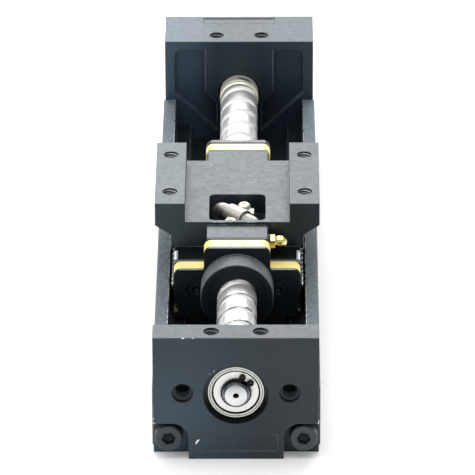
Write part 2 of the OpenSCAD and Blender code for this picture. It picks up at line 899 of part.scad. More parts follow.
// Round scraper collar in front of the front seal plate
module seal_collar() {
  y1 = stack_y(-1, cap_t + lube_t + seal_front_t);
  edge = 0.4;
  color("#202428") difference() {
    union() {
      taper(collar_r - edge, collar_r, y1 - collar_l, y1 - collar_l + edge);
      bar(collar_r, y1 - collar_l + edge, y1);
    }
    bar(screw_r + collar_gap, y1 - collar_l - over, y1 + over);
  }
}

module grease_nipple() {
  base_af = 4.6;
  base_l = 1.9;
  head_r = 2.1;
  neck_r = 1.8;
  neck_l = 0.3;
  rim_l = 1.7;
  tip_r = 1.1;
  tip_l = 1.6;
  color("gold") translate([hump_w / 2 + nipple_seat_t, slider_y + nipple_y, nipple_z]) rotate([0, 90, 0]) {
    translate([0, 0, -nipple_thread_l]) cylinder(r = nipple_r, h = nipple_thread_l + eps);
    cylinder(r = base_af / sqrt(3), h = base_l, $fn = 6);
    translate([0, 0, base_l]) {
      cylinder(r1 = head_r, r2 = neck_r, h = neck_l);
      translate([0, 0, neck_l]) cylinder(r1 = neck_r, r2 = head_r, h = neck_l);
      translate([0, 0, 2 * neck_l]) cylinder(r = head_r, h = rim_l);
      translate([0, 0, 2 * neck_l + rim_l]) cylinder(r1 = head_r, r2 = tip_r, h = tip_l);
    }
  }
}

rail();
front_housing();
rear_housing();
front_housing_screws();
rear_housing_screws();
front_bearing_outer_ring();
front_bearing_shields();
front_bearing_cage();
front_bearing_balls();
front_bearing_inner_ring();
front_circlip();
rear_bearing_outer_rings();
rear_bearing_cages();
rear_bearing_balls();
rear_bearing_inner_rings();
rear_bearing_retainer();
retainer_screws();
screw_shaft();
rear_spacer();
bearing_lock_nut();
slider_block();
return_tube();
tube_clamp();
tube_clamp_screws();
nut_balls();
left_guide_balls();
right_guide_balls();
front_end_cap();
rear_end_cap();
front_lube_plate();
rear_lube_plate();
front_seal_plate();
rear_seal_plate();
front_cap_screws();
rear_cap_screws();
seal_collar();
grease_nipple();
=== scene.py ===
"""Ball screw linear stage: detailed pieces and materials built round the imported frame.

Every shape below is worked out in millimetres in the row frame and scaled to metres when it
becomes a piece. +Z is up, +Y points to the drive end and the origin is the centre of the
rail's underside.
"""
import json
import math

import bmesh
import bpy
from mathutils import Matrix, Vector

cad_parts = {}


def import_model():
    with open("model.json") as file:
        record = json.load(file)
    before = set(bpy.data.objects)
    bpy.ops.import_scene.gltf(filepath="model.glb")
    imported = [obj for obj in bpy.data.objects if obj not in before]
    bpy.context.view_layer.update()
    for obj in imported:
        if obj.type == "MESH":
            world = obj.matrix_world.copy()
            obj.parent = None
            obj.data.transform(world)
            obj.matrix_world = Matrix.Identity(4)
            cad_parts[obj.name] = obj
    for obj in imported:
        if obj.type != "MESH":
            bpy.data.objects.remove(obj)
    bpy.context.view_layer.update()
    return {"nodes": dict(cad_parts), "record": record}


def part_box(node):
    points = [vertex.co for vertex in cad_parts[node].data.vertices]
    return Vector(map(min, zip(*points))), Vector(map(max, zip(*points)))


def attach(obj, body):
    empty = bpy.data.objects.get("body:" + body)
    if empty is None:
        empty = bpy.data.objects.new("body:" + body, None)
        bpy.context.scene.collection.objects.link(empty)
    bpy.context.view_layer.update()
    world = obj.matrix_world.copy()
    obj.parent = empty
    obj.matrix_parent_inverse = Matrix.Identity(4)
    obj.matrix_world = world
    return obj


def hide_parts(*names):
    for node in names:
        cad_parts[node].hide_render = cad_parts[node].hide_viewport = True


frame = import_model()

MM = 0.001


def node_box(name):
    """Lowest and highest corner of a CAD node, in millimetres."""
    low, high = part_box(name)
    return low / MM, high / MM


# ---------- places that the frame gives ----------

ring_low, ring_high = node_box("front_bearing_outer_ring")
collar_low, collar_high = node_box("seal_collar")
shaft_low, shaft_high = node_box("screw_shaft")
spacer_low, spacer_high = node_box("rear_spacer")
rail_low, rail_high = node_box("rail")
front_low, front_high = node_box("front_housing")
rear_low, rear_high = node_box("rear_housing")
slider_low, slider_high = node_box("slider_block")
nipple_low, nipple_high = node_box("grease_nipple")
cap_face_y = node_box("front_end_cap")[0].y
seal_face_y = node_box("front_seal_plate")[0].y
rear_seal_y = node_box("rear_seal_plate")[0].y
AXIS_Z = (ring_low.z + ring_high.z) / 2
SCREW_AXIS = Matrix.Translation((0, 0, AXIS_Z))
UPRIGHT = Matrix.Rotation(math.radians(90), 4, "X")

# The screw's thread: lead, outer radius, circle of the balls' centres, groove and its place
LEAD = 10.0
SCREW_R = 6.7
BALL_CIRCLE_R = 6.9
GROOVE_R = 1.72
GROOVE_PHASE = -15.55
# Half the groove's width at the screw's surface
GROOVE_LIP = math.sqrt(GROOVE_R ** 2 - (BALL_CIRCLE_R - SCREW_R) ** 2)

# Radii on the screw: support end in its bearing, circlip groove, shoulder, seat of the rear
# bearings, drive end, and the spacer
SEAT_R = 4.0
CLIP_R = 3.7
SHOULDER_R = 4.9
REAR_SEAT_R = 5.0
DRIVE_R = 4.0
SPACER_R = 7.0

# Places on the housings: half their width, the face holes, the tapped holes in their tops with
# their distance from the front face, the corner screws, and the circles of the retainer screws
# and of the motor's holes
HOUSE_X = 27
FACE_HOLE_X = 17.4
FACE_HOLE_Z = 24.2
FRONT_TOP_X = 8
FRONT_TOP_Y = 5.1
REAR_TOP_X = 8.15
REAR_TOP_Y = 6.1
CORNER_SCREW_X = 22
CORNER_SCREW_Z = 7.4
RETAINER_CIRCLE_R = 12.4
MOTOR_CIRCLE_R = 18

# Places on the slider: tops of the wings, of the hump and of the table's floor with half its
# width, the holes in the table from its centre, the end plate screws, and the collar's radii
WING_Z = 30
HUMP_Z = 38
FLOOR_Z = 39.15
FLOOR_X = 17.7
TABLE_HOLE_X = 23
TABLE_HOLE_Y = 15
CAP_SCREW_X = 14
CAP_SCREW_Z = 22.2
COLLAR_CORE_R = 11.0
COLLAR_FACE_R = 12.1
COLLAR_BAND_R = 12.3

# Socket head screws: head radius, head length, shank radius
M5_HEAD = (4.5, 5.0, 2.5)
M3_HEAD = (2.75, 3.0, 1.5)
M2_HEAD = (1.9, 2.0, 1.0)

# Tapped holes: radius, depth, pitch
FACE_HOLE = (3, 8, 1.0)
TOP_HOLE = (2.55, 8, 0.8)
MOTOR_HOLE = (2, 9, 0.7)
TABLE_HOLE = (2.5, 7, 0.8)


# ---------- shape helpers ----------

def lathe(bm, profile, place=SCREW_AXIS, segments=96, closed=True, material=0, ripple=None):
    """Turns a profile of (radius, y) points round the local Y axis.

    A closed profile makes a ring. ripple(point index, step) changes a point's radius.
    """
    rings = []
    for index, (radius, y) in enumerate(profile):
        steps = segments if radius > 1e-6 else 1
        ring = []
        for step in range(steps):
            a = 2 * math.pi * step / segments
            r = radius + (ripple(index, step) if ripple else 0)
            ring.append(bm.verts.new(place @ Vector((r * math.sin(a), y, r * math.cos(a)))))
        rings.append(ring)
    pairs = list(zip(rings, rings[1:]))
    if closed:
        pairs.append((rings[-1], rings[0]))
    for a, b in pairs:
        if len(a) == 1 and len(b) == 1:
            continue
        for k in range(segments):
            corners = (a[k % len(a)], a[(k + 1) % len(a)], b[(k + 1) % len(b)], b[k % len(b)])
            face = bm.faces.new(list(dict.fromkeys(corners)))
            face.material_index = material


def hexagon(across, steps):
    """Ripple that turns a circle of half the width across flats into a hexagon."""
    def at(step):
        a = (2 * math.pi * step / steps) % (math.pi / 3) - math.pi / 6
        return across / 2 / math.cos(a) - across / 2
    return at


def coil(bm, radius_out, radius_in, pitch, y0, y1, place, steps=24, material=0):
    """Helical ridge of a tapped hole: its foot is on the wall and its crest points inwards."""
    turns = (y1 - y0) / pitch
    count = max(2, round(turns * steps))
    rows = []
    for k in range(count + 1):
        a = 2 * math.pi * k / steps
        y = y0 + pitch * k / steps
        crest = radius_out - (radius_out - radius_in) * min(1, k / steps, (count - k) / steps)
        ends = ((radius_out, -0.45), (crest, -0.08), (crest, 0.08), (radius_out, 0.45))
        rows.append([bm.verts.new(place @ Vector((r * math.sin(a), y + s * pitch, r * math.cos(a))))
                     for r, s in ends])
    for a, b in zip(rows, rows[1:]):
        for i in range(4):
            j = (i + 1) % 4
            bm.faces.new((a[i], a[j], b[j], b[i])).material_index = material
    bm.faces.new(rows[0])
    bm.faces.new(rows[-1])


def piece(name, bm, body, materials, nodes=(), crease=32):
    """Makes a finished piece from a mesh in millimetres, riding on a body for its CAD nodes."""
    bmesh.ops.recalc_face_normals(bm, faces=bm.faces)
    bmesh.ops.scale(bm, vec=(MM, MM, MM), verts=bm.verts)
    mesh = bpy.data.meshes.new(name)
    bm.to_mesh(mesh)
    bm.free()
    for material in materials:
        mesh.materials.append(material)
    mesh.polygons.foreach_set("use_smooth", [True] * len(mesh.polygons))
    mesh.set_sharp_from_angle(angle=math.radians(crease))
    made = bpy.data.objects.new(name, mesh)
    bpy.context.scene.collection.objects.link(made)
    flat = made.modifiers.new("flat_faces", "WEIGHTED_NORMAL")
    flat.weight = 100
    flat.keep_sharp = True
    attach(made, body)
    if nodes:
        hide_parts(*nodes)
    return made


def node_mesh(name):
    """A CAD node's mesh in millimetres, with its flat faces joined up again."""
    bm = bmesh.new()
    bm.from_mesh(frame["nodes"][name].data)
    bmesh.ops.remove_doubles(bm, verts=bm.verts, dist=1e-6)
    bmesh.ops.dissolve_limit(bm, angle_limit=math.radians(0.5), verts=bm.verts, edges=bm.edges)
    bmesh.ops.scale(bm, vec=(1 / MM, 1 / MM, 1 / MM), verts=bm.verts)
    for face in bm.faces:
        face.material_index = 0
    return bm


def bevelled(bm, width, edge_material=1):
    """Rounds every edge sharper than 30 degrees, and gives the rounding a material of its own."""
    sharp = [e for e in bm.edges if e.is_manifold and e.calc_face_angle(0) > math.radians(30)]
    bmesh.ops.bevel(bm, geom=sharp, offset=width, offset_type="OFFSET", segments=2,
                    profile=0.5, affect="EDGES", clamp_overlap=False, material=edge_material)
    return bm


BODY_OF = {}
for body_name, members in frame["record"]["behaviour"]["bodies"].items():
    for member in members:
        BODY_OF[member] = body_name


def finished_node(node, materials, width=0.25):
    """A CAD node's own shape with rounded edges."""
    edge = 1 if len(materials) > 1 else 0
    bm = bevelled(node_mesh(node), width, edge)
    return piece(node + "_body", bm, BODY_OF[node], materials, [node])


# ---------- material helpers ----------

class Shade:
    """A node material whose patterns are sized in millimetres in the row frame."""

    def __init__(self, name, metallic=0.0, specular=0.5, tint=(1, 1, 1)):
        self.material = bpy.data.materials.new(name)
        self.material.use_nodes = True
        self.tree = self.material.node_tree
        self.shader = self.tree.nodes["Principled BSDF"]
        self.shader.inputs["Metallic"].default_value = metallic
        self.shader.inputs["Specular IOR Level"].default_value = specular
        self.shader.inputs["Specular Tint"].default_value = (*tint, 1)
        coords = self.tree.nodes.new("ShaderNodeTexCoord")
        scale = self.tree.nodes.new("ShaderNodeVectorMath")
        scale.operation = "SCALE"
        scale.inputs["Scale"].default_value = 1 / MM
        self.tree.links.new(coords.outputs["Object"], scale.inputs[0])
        self.place = scale.outputs[0]
        self.axes = None

    def feed(self, socket, value):
        """Links a socket or sets a plain value."""
        if isinstance(value, bpy.types.NodeSocket):
            self.tree.links.new(value, socket)
        elif isinstance(value, tuple) and len(value) == 3 and len(socket.default_value) == 4:
            socket.default_value = (*value, 1.0)
        else:
            socket.default_value = value

    def set(self, name, value):
        self.feed(self.shader.inputs[name], value)

    def math(self, operation, a, b=0.0):
        node = self.tree.nodes.new("ShaderNodeMath")
        node.operation = operation
        self.feed(node.inputs[0], a)
        self.feed(node.inputs[1], b)
        return node.outputs[0]

    def times(self, a, b):
        return self.math("MULTIPLY", a, b)

    def noise(self, per_mm, low=0.35, high=0.65, detail=3.0, stretch=(1, 1, 1)):
        """Noise stretched to run from 0 at its low value to 1 at its high value."""
        squeeze = self.tree.nodes.new("ShaderNodeMapping")
        squeeze.inputs["Scale"].default_value = stretch
        self.feed(squeeze.inputs["Vector"], self.place)
        node = self.tree.nodes.new("ShaderNodeTexNoise")
        node.inputs["Scale"].default_value = per_mm
        node.inputs["Detail"].default_value = detail
        self.feed(node.inputs["Vector"], squeeze.outputs[0])
        return self.between(node.outputs["Fac"], low, high)

    def between(self, value, low, high, to_low=0.0, to_high=1.0):
        node = self.tree.nodes.new("ShaderNodeMapRange")
        for index, setting in enumerate((low, high, to_low, to_high)):
            node.inputs[index + 1].default_value = setting
        self.feed(node.inputs[0], value)
        return node.outputs[0]

    def axis(self, name):
        if self.axes is None:
            self.axes = self.tree.nodes.new("ShaderNodeSeparateXYZ")
            self.feed(self.axes.inputs[0], self.place)
        return self.axes.outputs[name]

    def radius(self):
        """Distance from the screw's axis, in millimetres."""
        height = self.math("SUBTRACT", self.axis("Z"), AXIS_Z)
        squares = self.math("ADD", self.times(self.axis("X"), self.axis("X")),
                            self.times(height, height))
        return self.math("SQRT", squares)

    def turn(self):
        """Place across the screw's thread, 0 at the middle of the groove and 1 a lead further."""
        height = self.math("SUBTRACT", self.axis("Z"), AXIS_Z)
        angle = self.math("ARCTAN2", self.axis("X"), height)
        along = self.times(self.math("SUBTRACT", self.axis("Y"), GROOVE_PHASE), 1 / LEAD)
        return self.math("FRACT", self.math("SUBTRACT", along, self.times(angle, 0.5 / math.pi)))

    def band(self, value, low, high, ramp):
        """1 while a value is between two others, with ramps of the given width centred on them."""
        rise = self.between(value, low - ramp / 2, low + ramp / 2)
        fall = self.between(value, high - ramp / 2, high + ramp / 2, 1, 0)
        return self.times(rise, fall)

    def within(self, name, low, high, soft=0.1):
        """1 between two places along an axis, with soft ends."""
        return self.band(self.axis(name), low, high, 2 * soft)

    def inside(self, low, high, soft=0.3):
        """1 inside a box given by two corners, with soft walls."""
        masks = [self.within(name, a, b, soft) for name, a, b in zip("XYZ", low, high)]
        return self.times(self.times(masks[0], masks[1]), masks[2])

    def any_of(self, masks):
        """The largest of several masks."""
        most = masks[0]
        for mask in masks[1:]:
            most = self.math("MAXIMUM", most, mask)
        return most

    def mix(self, mask, a, b):
        """Colour a where the mask is 0 and b where it is 1."""
        node = self.tree.nodes.new("ShaderNodeMix")
        node.data_type = "RGBA"
        self.feed(node.inputs[0], mask)
        self.feed(node.inputs[6], a)
        self.feed(node.inputs[7], b)
        return node.outputs[2]

    def tone(self):
        """The colour that the shader has so far."""
        return self.shader.inputs["Base Color"].links[0].from_socket

    def bump(self, height, depth_mm):
        node = self.tree.nodes.new("ShaderNodeBump")
        node.inputs["Strength"].default_value = 1.0
        node.inputs["Distance"].default_value = depth_mm * MM
        self.feed(node.inputs["Height"], height)
        self.set("Normal", node.outputs[0])


BARE_STEEL = (0.82, 0.83, 0.84)
COAT_DARK = (0.022, 0.031, 0.038)
COAT_LIGHT = (0.034, 0.045, 0.053)
COAT_TINT = (0.79, 0.95, 1.0)


def coated_metal(name, dark, light, rough=(0.36, 0.46), grain=4.0, grain_depth=0.006, specular=0.5):
    """Satin surface-treated metal: cloudy tone, fine grain and uneven gloss."""
    s = Shade(name, specular=specular, tint=COAT_TINT)
    cloud = s.noise(0.06, 0.3, 0.7)
    fine = s.noise(grain, 0.3, 0.7)
    tone = s.math("ADD", s.times(cloud, 0.6), s.times(fine, 0.4))
    s.set("Base Color", s.mix(tone, dark, light))
    s.set("Roughness", s.between(s.noise(0.5, 0.3, 0.7), 0, 1, *rough))
    s.bump(fine, grain_depth)
    return s


def edge_coat(name, rubbed, wear_and_glint_boxes=(), fleck_level=0.5, shade_r=0.0):
    """The coat where it wraps an edge: a little rubbed, and bare steel flecks inside given boxes,
    which are worn spots except on the slider table's front lower edge, where they are painted
    glints.

    Edges within the given radius of the screw's axis are painted black as painted shade round the
    bearing's bore.
    """
    s = Shade(name, tint=COAT_TINT)
    rub = s.noise(0.5, 0.35, 0.65, 4.0)
    base = s.mix(rub, COAT_LIGHT, rubbed)
    # Painted shade: edges near the screw's axis are painted black.
    if shade_r:
        shade_black = s.between(s.radius(), shade_r, shade_r + 0.3, 1, 0)
        base = s.mix(shade_black, base, (0.003, 0.003, 0.003))
    rough = s.between(rub, 0, 1, 0.45, 0.34)
    if wear_and_glint_boxes:
        place = s.any_of([s.inside(low, high) for low, high in wear_and_glint_boxes])
        fleck = s.times(s.noise(0.8, fleck_level, fleck_level + 0.06, 4.0), place)
        base = s.mix(fleck, base, BARE_STEEL)
        s.set("Metallic", fleck)
    s.set("Base Color", base)
    s.set("Roughness", rough)
    return s.material


def bright_metal(name, colour, tint, rough, per_mm=1.0, depth=0.003, metallic=1.0):
    """Uncoated metal with a soft mottled tone."""
    s = Shade(name, metallic=metallic)
    mottle = s.noise(per_mm, 0.3, 0.7, 4.0)
    s.set("Base Color", s.mix(mottle, colour, tint))
    s.set("Roughness", s.between(mottle, 0, 1, *rough))
    s.bump(mottle, depth)
    return s.material


# ---------- materials ----------

def rail_coat():
    """Black-treated steel; the tops of the walls keep a coarse speckled skin, paler at the drive
    end, and grease has browned the inner walls beside the slider's front seal. Between the inner
    walls the channel is painted near-black as painted shade."""
    s = coated_metal("rail_coat", COAT_DARK, COAT_LIGHT)
    top = s.within("Z", rail_high.z - 0.2, rail_high.z + 1, 0.03)
    grains = s.noise(1.3, 0.38, 0.6, 3.0)
    pits = s.noise(3.4, 0.36, 0.6, 2.0)
    speckle = s.math("ADD", s.times(grains, 0.55), s.times(pits, 0.45))
    # Painted shade: the channel between the inner walls is painted near-black.
    inside = s.within("X", rail_low.x + 4.6, rail_high.x - 4.6, 0.2)
    plain = s.mix(inside, s.tone(), (0.005, 0.006, 0.008))
    coarse = s.mix(speckle, (0.020, 0.029, 0.037), (0.118, 0.154, 0.176))
    coarse = s.mix(s.between(s.axis("Y"), 20, 110, 0, 0.4), coarse, (0.16, 0.2, 0.22))
    grease = s.any_of([s.inside((-24, seal_face_y - 6, 13), (-22, seal_face_y + 8, 19), 1.0),
                       s.inside((22, seal_face_y - 4, 15), (24, seal_face_y + 5, 19), 1.0)])
    grease = s.times(grease, s.noise(0.5, 0.4, 0.55, 4.0))
    coated = s.mix(s.times(grease, 0.8), s.mix(top, plain, coarse), (0.42, 0.38, 0.22))
    s.set("Base Color", coated)
    s.set("Roughness", s.between(top, 0, 1, 0.42, 0.56))
    s.bump(s.math("ADD", s.times(speckle, top), s.times(pits, 0.05)), 0.09)
    return s.material


def rail_edge():
    """Upper edges of the rail: the coat is rubbed through in ragged lines along the channel."""
    s = Shade("rail_edge", tint=COAT_TINT)
    across = s.math("ABSOLUTE", s.axis("X"))
    inner = s.times(s.between(across, 22.6, 22.8), s.between(across, 23.6, 23.8, 1, 0))
    high = s.between(s.axis("Z"), rail_high.z - 0.9, rail_high.z - 0.7)
    ragged = s.noise(0.7, 0.4, 0.52, 5.0, (1, 0.5, 1))
    bare = s.times(s.times(inner, high), ragged)
    s.set("Base Color", s.mix(bare, COAT_LIGHT, (0.62, 0.63, 0.62)))
    s.set("Metallic", s.times(bare, 0.9))
    s.set("Roughness", s.between(bare, 0, 1, 0.45, 0.34))
    return s.material


def slider_coat():
    """Black-treated steel with a cross-brushed table floor, a few pale scuffs, and wings with bare
    ground strips along their ends. Painted shade: the body is darker towards its right side, and
    the wings under the table are near-black and less glossy."""
    s = coated_metal("slider_coat", COAT_DARK, COAT_LIGHT)
    cloudy = s.tone()
    # Painted shade: darker towards the right side.
    plain = s.mix(s.between(s.axis("X"), -12, 20), cloudy, (0.006, 0.008, 0.009))
    floor = s.times(s.within("Z", FLOOR_Z - 0.25, FLOOR_Z + 0.25, 0.05),
                    s.within("X", -FLOOR_X, FLOOR_X, 0.05))
    lines = s.noise(1.1, 0.3, 0.7, 4.0, (0.05, 1.8, 1))
    scratches = s.noise(1.6, 0.56, 0.63, 3.0, (0.45, 1.4, 1))
    patches = s.any_of([s.inside((-0.5, 3, 38), (10.5, 11, 40), 2.5),
                        s.inside((-11.5, 18.5, 38), (-8.5, 20.5, 40), 0.8),
                        s.inside((-17, -25, 38), (-14, -22, 40), 1.0)])
    scuff = s.times(scratches, patches)
    brushed = s.mix(lines, (0.014, 0.019, 0.020), (0.022, 0.029, 0.030))
    brushed = s.mix(scuff, brushed, (0.2, 0.22, 0.225))
    wing = s.within("Z", WING_Z - 0.6, WING_Z + 0.2, 0.05)
    sides = s.any_of([s.within("X", 20.2, 21.3, 0.08), s.within("X", -21.3, -20.2, 0.08)])
    ends = s.any_of([s.within("Y", slider_low.y - 1, slider_low.y + 7, 0.3),
                     s.within("Y", slider_high.y - 7, slider_high.y + 1, 0.3)])
    strip = s.times(s.times(sides, ends), wing)
    # Painted shade: the wings under the table are painted near-black and their gloss is lowered.
    plain = s.mix(wing, plain, (0.004, 0.005, 0.006))
    s.set("Specular IOR Level", s.between(wing, 0, 1, 0.5, 0.18))
    s.set("Base Color", s.mix(strip, s.mix(floor, plain, brushed), (0.93, 0.93, 0.93)))
    s.set("Metallic", s.times(strip, 0.7))
    return s.material


def screw_steel():
    """Ground ball screw: satin lands, grooves painted near-white as a painted reflection, and short
    dark lines along the groove's edges, mostly at the support end. The centre holes are painted
    black inside as painted shade, and the support end has a dark rim and is painted greyer at its
    top as painted shade."""
    s = Shade("screw_steel_look")
    lines = s.noise(1.2, 0.3, 0.7, 2.0, (0.2, 2.0, 0.2))
    turn = s.turn()
    thread = s.between(s.radius(), 5.1, 5.3)
    lip = GROOVE_LIP / LEAD
    groove = s.any_of([s.between(turn, lip - 0.01, lip, 1, 0),
                       s.between(turn, 1 - lip, 1 - lip + 0.01)])
    groove = s.times(groove, thread)
    # Short dark lines along the groove's edges, mostly at the support end.
    edges = [s.band(turn, at - 0.016, at + 0.016, 0.008) for at in (lip, 1 - lip)]
    broken = s.times(s.noise(0.3, 0.40, 0.54, 3.0), thread)
    broken = s.times(broken, s.between(s.axis("Y"), -70, -30, 1, 0.1))
    darkening = s.times(s.any_of(edges), broken)
    # Painted shade: the centre holes are painted black inside.
    hole = s.between(s.radius(), 0.84, 0.92, 1, 0)
    rim = s.times(s.between(s.radius(), 3.5, 3.7),
                  s.within("Y", shaft_low.y - 1, shaft_low.y + 1.2, 0.05))
    land = s.mix(lines, (0.71, 0.73, 0.74), (0.83, 0.83, 0.83))
    # Painted reflection: the grooves are painted near-white, and made less metallic, so they look
    # bright all round.
    bright = s.mix(groove, land, (0.97, 0.97, 0.96))
    lines_and_shade = s.mix(s.times(darkening, 0.85), bright, (0.12, 0.13, 0.12))
    lines_and_shade = s.mix(rim, lines_and_shade, (0.16, 0.18, 0.21))
    # Painted shade: the end face is painted greyer towards its top.
    end = s.times(s.within("Y", shaft_low.y - 1, shaft_low.y + 0.1, 0.05),
                  s.between(s.axis("Z"), AXIS_Z - 1, AXIS_Z + 3.4, 0, 0.75))
    lines_and_shade = s.mix(end, lines_and_shade, (0.30, 0.32, 0.35))
    s.set("Base Color", s.mix(hole, lines_and_shade, (0.006, 0.006, 0.006)))
    s.set("Metallic", s.between(groove, 0, 1, 0.76, 0.4))
    satin = s.between(lines, 0, 1, 0.32, 0.38)
    s.set("Roughness", s.math("ADD", satin, s.times(groove, 0.14)))
    s.bump(lines, 0.0012)
    return s.material


def cream_resin():
    """Porous lubricant resin: yellow at the corners and painted paler along the hump as a painted
    sheen.
    """
    s = Shade("cream_resin_look", specular=0.35)
    patch = s.noise(0.16, 0.4, 0.68, 3.0)
    pores = s.noise(3.0, 0.3, 0.6, 3.0)
    yellow = s.mix(patch, (0.88, 0.77, 0.30), (0.80, 0.67, 0.20))
    pale = s.mix(patch, (0.84, 0.81, 0.57), (0.78, 0.73, 0.42))
    # Painted sheen: paler along the top of the hump.
    hump_sheen = s.times(s.within("X", -8.6, 8.6, 1.2), s.within("Z", HUMP_Z - 1, HUMP_Z + 1, 0.3))
    base = s.mix(hump_sheen, yellow, pale)
    solid = s.times(s.math("SUBTRACT", 1.0, pores), 0.16)
    s.set("Base Color", s.mix(solid, base, (0.66, 0.55, 0.2)))
    s.set("Roughness", s.between(pores, 0, 1, 0.6, 0.45))
    s.shader.inputs["Subsurface Weight"].default_value = 0.1
    s.shader.inputs["Subsurface Radius"].default_value = (0.001, 0.0008, 0.0004)
    s.bump(pores, 0.012)
    return s.material


def spacer_steel():
    """Satin spacer, straw-yellow at its front edge, with a painted dark reflection on its upper
    right.
    """
    s = Shade("spacer_look", metallic=0.65)
    drift = s.noise(0.5, 0.35, 0.65, 3.0)
    front = s.between(s.axis("Y"), spacer_low.y + 1.2, spacer_low.y + 1.9, 1, 0)
    steel = s.mix(drift, (0.66, 0.66, 0.62), (0.85, 0.85, 0.82))
    straw = s.mix(drift, (0.9, 0.86, 0.55), (0.96, 0.95, 0.78))
    # Painted reflection: a dark patch on the upper right.
    dark_reflection = s.times(s.inside((-0.8, spacer_low.y + 2.6, 28), (4.2, spacer_low.y + 4.6, 32), 0.7),
                  s.noise(0.4, 0.34, 0.5, 3.0))
    s.set("Base Color", s.mix(dark_reflection, s.mix(front, steel, straw), (0.12, 0.13, 0.14)))
    s.set("Roughness", s.between(s.noise(3.0), 0, 1, 0.4, 0.5))
    s.bump(s.noise(4.0), 0.003)
    return s.material


def seal_rubber():
    """Black seal plates whose upper edges are painted grey as painted light on their lit tops, with
    lumps of grease at the front one's sides; on the thicker rear one the grey is left off next to
    the resin."""
    s = coated_metal("rubber_look", (0.003, 0.004, 0.006), (0.007, 0.009, 0.012),
                     (0.5, 0.65), 3.0, 0.01, 0.32)
    plain = s.tone()
    wings = s.any_of([s.within("X", -21, -11.6, 0.1), s.within("X", 11.6, 21, 0.1)])
    # Painted light: the tops of the hump and wings are painted grey.
    lit_tops = s.any_of([s.within("Z", HUMP_Z - 0.05, HUMP_Z + 1, 0.03),
                     s.times(s.within("Z", WING_Z - 0.15, WING_Z + 0.3, 0.03), wings)])
    # The rear plate's first 0.9 mm next to the resin keeps its black.
    rear_dark_band = s.within("Y", rear_seal_y - 1, rear_seal_y + 0.9, 0.05)
    lit_tops = s.times(lit_tops, s.math("SUBTRACT", 1.0, rear_dark_band))
    grey = s.mix(lit_tops, plain, s.mix(s.noise(1.2), (0.17, 0.17, 0.19), (0.29, 0.29, 0.31)))
    lumps = s.any_of([
        s.inside((-22.5, seal_face_y - 1, 14.2), (-20.3, seal_face_y + 0.3, 17), 0.4),
        s.inside((20.6, seal_face_y - 1, 14.6), (22.5, seal_face_y + 0.3, 16.6), 0.4)])
    lumps = s.times(lumps, s.noise(0.8, 0.42, 0.56, 4.0))
    s.set("Base Color", s.mix(lumps, grey, (0.42, 0.38, 0.24)))
    return s.material


def cap_resin():
    """Black end caps whose wings are painted darker and less glossy as painted shade; along its
    front edge the front one has a grey line on each wing, painted light on the lit top edge, and a
    dark line on the hump, a painted shadow where it meets the resin plate."""
    s = coated_metal("resin_look", (0.016, 0.020, 0.024), (0.028, 0.034, 0.040),
                     (0.4, 0.52), 2.5, 0.01)
    plain = s.tone()
    wing = s.within("Z", WING_Z - 0.6, WING_Z + 0.3, 0.05)
    # Painted light: grey line along the wings' front top edge.
    lit_edge_line = s.times(wing, s.within("Y", cap_face_y - 0.1, cap_face_y + 0.5, 0.05))
    # Painted shadow: dark line along the hump's front edge.
    shadow_line = s.times(s.within("Z", HUMP_Z - 1, HUMP_Z + 1, 0.1),
                        s.within("Y", cap_face_y - 0.1, cap_face_y + 0.4, 0.1))
    # Painted shade: the wings and the hump's line are painted darker, with less specular.
    cap_shade = s.math("MAXIMUM", wing, shadow_line)
    s.set("Specular IOR Level", s.between(cap_shade, 0, 1, 0.5, 0.12))
    dark = s.mix(cap_shade, plain, (0.004, 0.005, 0.006))
    s.set("Base Color", s.mix(lit_edge_line, dark, (0.2, 0.2, 0.21)))
    return s.material


def bearing_steel():
    """Polished ring steel; the two fine lines round the front ring's face, a gap and a groove, are
    painted black as painted shade.
    """
    s = Shade("bearing_look", metallic=1.0)
    drift = s.noise(0.35, 0.3, 0.7, 2.0)
    radius = s.radius()
    face = s.within("Y", ring_low.y - 1, ring_low.y + 1.2, 0.05)
    # Painted shade: the gap and the groove on the ring's face are painted black.
    lines = s.any_of([s.band(radius, low - 0.02, high + 0.02, 0.04)
                      for low, high in ((7.3, 7.9), (8.48, 8.64))])
    steel = s.mix(drift, (0.44, 0.46, 0.43), (0.58, 0.60, 0.55))
    s.set("Base Color", s.mix(s.times(lines, face), steel, (0.02, 0.02, 0.02)))
    s.set("Roughness", s.between(drift, 0, 1, 0.24, 0.3))
    s.bump(drift, 0.0005)
    return s.material


def inner_ring_steel():
    """Inner ring of the front bearing, with a black line of painted shade in the gap against the
    shield.
    """
    s = Shade("inner_ring_look", metallic=1.0)
    drift = s.noise(0.35, 0.3, 0.7, 2.0)
    # Painted shade: black line in the gap against the shield.
    gap_shade = s.between(s.radius(), 4.46, 4.54)
    steel = s.mix(drift, (0.5, 0.51, 0.53), (0.62, 0.63, 0.64))
    s.set("Base Color", s.mix(gap_shade, steel, (0.01, 0.01, 0.01)))
    s.set("Roughness", s.between(drift, 0, 1, 0.3, 0.38))
    s.bump(drift, 0.0005)
    return s.material


def spring_steel():
    """Circlip: grey spring steel; its outer rim and its part above the screw's axis are painted
    dark as painted shade.
    """
    s = Shade("spring_look", metallic=0.9)
    drift = s.noise(1.0, 0.3, 0.7, 3.0)
    # Painted shade: the part above the screw's axis is painted dark.
    painted_shade = s.between(s.axis("Z"), AXIS_Z - 1, AXIS_Z + 2.5)
    steel_tone = s.mix(drift, (0.20, 0.22, 0.26), (0.32, 0.34, 0.38))
    # Painted shade: the outer rim is painted black.
    steel_tone = s.mix(s.between(s.radius(), 4.5, 4.6), steel_tone, (0.006, 0.006, 0.007))
    darkening = s.mix(drift, (0.006, 0.006, 0.005), (0.016, 0.016, 0.013))
    s.set("Base Color", s.mix(painted_shade, steel_tone, darkening))
    s.set("Roughness", s.between(drift, 0, 1, 0.32, 0.42))
    s.bump(drift, 0.001)
    return s.material


